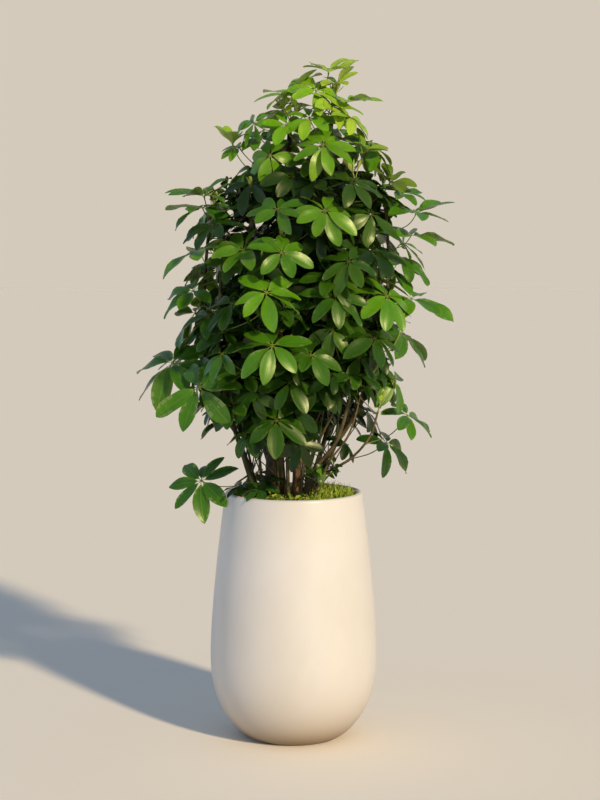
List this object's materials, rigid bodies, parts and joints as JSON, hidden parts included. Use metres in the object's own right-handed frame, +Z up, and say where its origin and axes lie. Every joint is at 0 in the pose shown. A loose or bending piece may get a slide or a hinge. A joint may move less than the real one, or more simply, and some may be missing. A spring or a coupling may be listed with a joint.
{
  "type": "potted umbrella plant",
  "caption": "Umbrella plant with several upright stems of glossy compound leaves, growing in a tall egg-shaped planter with a rounded lip and a flat foot.",
  "frame": {"origin": "centre of the planter's flat foot, on the surface that it stands on", "axes": "+Z up along the planter's axis; -Y is the front that the picture shows; +X is the right as seen from the front"},
  "size_m": [0.8101, 0.6984, 1.7011],
  "materials": {
    "planter": "smooth satin",
    "soil": "rough, crumbly",
    "moss": "soft, tufted",
    "foliage": "waxy leaf, semi-gloss",
    "bark": "rough bark"
  },
  "bodies": {
    "root": {"planter_pot": "planter", "potting_soil": "soil", "ground_cover": "moss", "leafy_stem_01": "foliage", "leafy_stem_02": "foliage", "leafy_stem_03": "foliage", "leafy_stem_04": "foliage", "leafy_stem_05": "foliage", "leafy_stem_06": "foliage", "leafy_stem_07": "foliage", "leafy_stem_08": "foliage", "leafy_stem_09": "foliage", "leafy_stem_10": "foliage", "leafy_stem_11": "foliage"}
  },
  "joints": []
}
